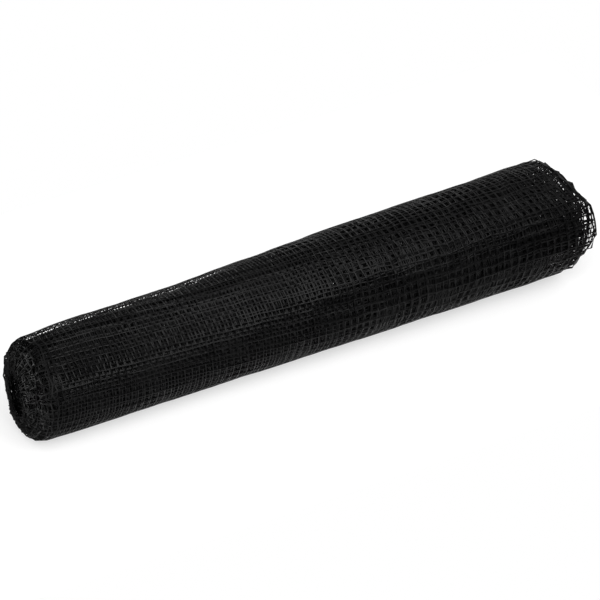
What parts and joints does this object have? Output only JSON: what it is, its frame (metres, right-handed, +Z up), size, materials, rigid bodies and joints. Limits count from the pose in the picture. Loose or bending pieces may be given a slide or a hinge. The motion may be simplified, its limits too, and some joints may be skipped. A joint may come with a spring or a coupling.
{
  "type": "roll of mole netting",
  "caption": "Coreless roll of black plastic mesh netting lying on its side, looser and thicker at one end, where its outermost layer stands out as an open net collar.",
  "frame": {"origin": "on the floor under the middle of the roll's bounding box", "axes": "+X along the roll towards its looser, thicker end, +Z up, and -Y towards the front, where the free edge of the net is"},
  "size_m": [1.0328, 0.193, 0.1907],
  "materials": {
    "netting": "black extruded plastic net with a faint sheen on its strands"
  },
  "bodies": {
    "root": {"netting_roll": "netting"}
  },
  "joints": []
}
